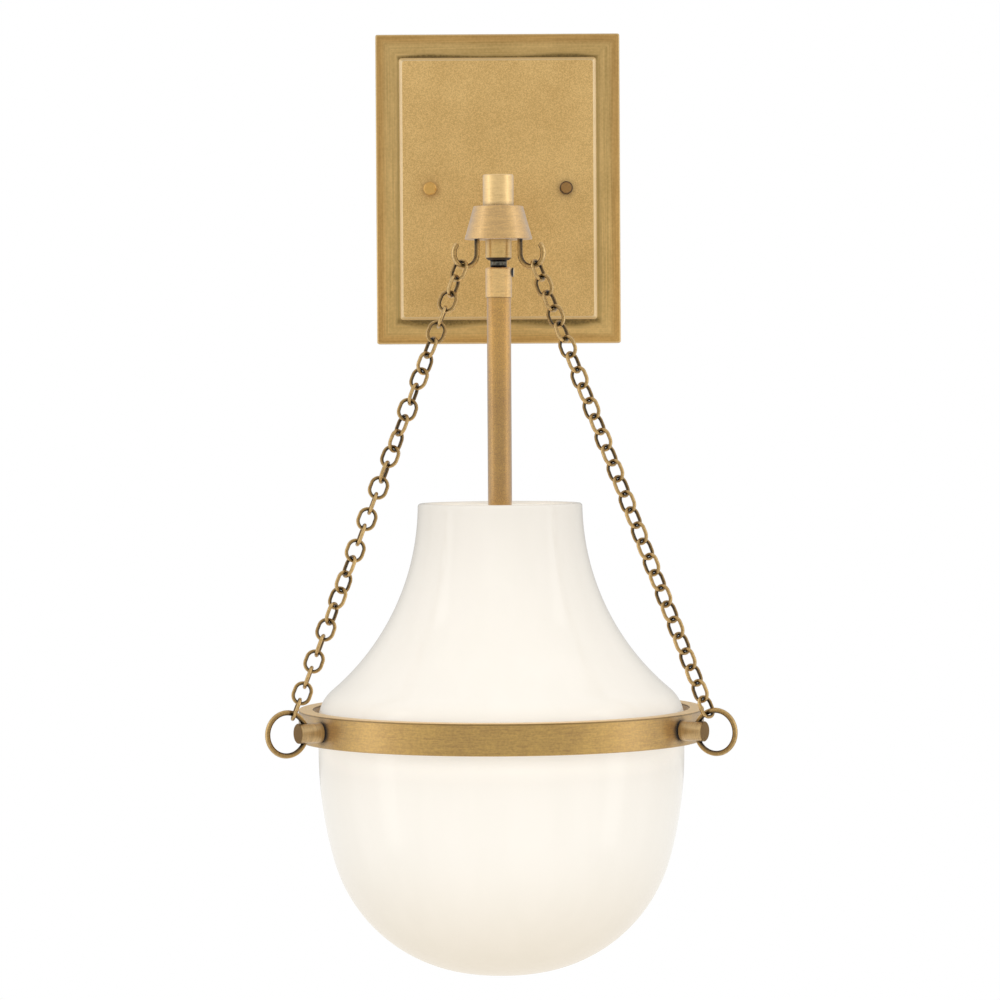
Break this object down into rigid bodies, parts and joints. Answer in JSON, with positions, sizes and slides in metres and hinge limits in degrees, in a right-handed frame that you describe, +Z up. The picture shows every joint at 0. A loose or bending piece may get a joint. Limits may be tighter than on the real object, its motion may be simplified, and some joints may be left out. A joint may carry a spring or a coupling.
{
  "type": "wall sconce",
  "caption": "Wall sconce with a stepped brass plate, a short arm and crown, a stem lamp, and an opal glass shade in a brass band hung on chains.",
  "frame": {"origin": "centre of the wall plate's back, on the wall, where the crossbar is screwed to the outlet box", "axes": "+Z up, +Y into the wall, so the lamp stands out towards -Y, +X to the right as seen from the room"},
  "size_m": [0.2226, 0.2365, 0.4665],
  "materials": {
    "aged_brass": "brushed, lacquered, warm gold",
    "dark_brass": "aged, dark in the recesses",
    "zinc_steel": "zinc plated",
    "ground_green": "green",
    "black_steel": "black oxide",
    "opal_glass": "opal white, polished",
    "gasket_rubber": "clear silicone",
    "socket_ceramic": "white porcelain",
    "socket_brass": "plain",
    "bulb_frosted": "frosted, lit",
    "bulb_metal": "plain",
    "bulb_black": "gloss"
  },
  "bodies": {
    "wall_mount": {"backplate": "aged_brass", "cap_nuts": "aged_brass", "crossbar": "zinc_steel", "plate_studs": "zinc_steel", "stud_lock_nuts": "zinc_steel", "ground_screw": "ground_green", "arm_tube": "aged_brass", "arm_nipple": "zinc_steel", "arm_washer": "zinc_steel", "arm_nut": "zinc_steel", "crown_post": "aged_brass", "crown_nipple": "zinc_steel", "crown_cone": "aged_brass", "crown_hub": "aged_brass", "hook_left": "dark_brass", "hook_right": "dark_brass", "hook_rear": "dark_brass"},
    "swivel": {"swivel_ball": "black_steel"},
    "stem": {"stem_collar": "aged_brass", "set_screw": "black_steel", "stem_tube": "aged_brass", "socket_cap": "socket_brass", "socket_body": "socket_ceramic", "socket_shell": "socket_brass", "centre_contact": "socket_brass"},
    "bulb": {"bulb_glass": "bulb_frosted", "bulb_base": "bulb_metal", "bulb_insulator": "bulb_black", "bulb_contact": "socket_brass"},
    "shade": {"glass_shade": "opal_glass", "shade_band": "aged_brass", "glass_gasket": "gasket_rubber", "stud_left": "aged_brass", "stud_right": "aged_brass", "stud_rear": "aged_brass", "stud_screws": "zinc_steel"},
    "chain_left": {"chain_left": "dark_brass"},
    "ring_left": {"ring_left": "dark_brass"},
    "chain_right": {"chain_right": "dark_brass"},
    "ring_right": {"ring_right": "dark_brass"},
    "chain_rear": {"chain_rear": "dark_brass"},
    "ring_rear": {"ring_rear": "dark_brass"}
  },
  "joints": [
    {"name": "swivel_tilt", "type": "hinge", "parent": "wall_mount", "child": "swivel", "pos_m": [0, -0.138, -0.0382], "axis": [0, 1, 0], "range_deg": [-3, 3]},
    {"name": "stem_turn", "type": "hinge", "parent": "swivel", "child": "stem", "pos_m": [0, -0.138, -0.0465], "axis": [0, 0, 1], "range_deg": [-170, 170]},
    {"name": "bulb_turn", "type": "hinge", "parent": "stem", "child": "bulb", "pos_m": [0, -0.138, -0.2617], "axis": [0, 0, 1], "continuous": true},
    {"name": "shade_swing", "type": "hinge", "parent": "wall_mount", "child": "shade", "pos_m": [0, -0.138, 0.00499], "axis": [0, 1, 0], "range_deg": [-4, 4]},
    {"name": "chain_left_swing", "type": "hinge", "parent": "wall_mount", "child": "chain_left", "pos_m": [-0.01733, -0.14801, -0.04134], "axis": [0, 1, 0], "range_deg": [-5, 5]},
    {"name": "ring_left_turn", "type": "hinge", "parent": "shade", "child": "ring_left", "pos_m": [-0.10124, -0.19645, -0.2656], "axis": [-0.5, 0.866, 0], "continuous": true},
    {"name": "chain_right_swing", "type": "hinge", "parent": "wall_mount", "child": "chain_right", "pos_m": [0.01733, -0.14801, -0.04134], "axis": [0, 1, 0], "range_deg": [-5, 5]},
    {"name": "ring_right_turn", "type": "hinge", "parent": "shade", "child": "ring_right", "pos_m": [0.10124, -0.19645, -0.2656], "axis": [-0.5, -0.866, 0], "continuous": true},
    {"name": "chain_rear_swing", "type": "hinge", "parent": "wall_mount", "child": "chain_rear", "pos_m": [0, -0.11799, -0.04134], "axis": [0, 1, 0], "range_deg": [-5, 5]},
    {"name": "ring_rear_turn", "type": "hinge", "parent": "shade", "child": "ring_rear", "pos_m": [0, -0.0211, -0.2656], "axis": [1, 0, 0], "continuous": true}
  ],
  "couplings": [
    {"joint": "chain_left_swing", "follows": "shade_swing", "ratio": 1.2143},
    {"joint": "chain_right_swing", "follows": "shade_swing", "ratio": 1.2143},
    {"joint": "chain_rear_swing", "follows": "shade_swing", "ratio": 1.2143}
  ]
}
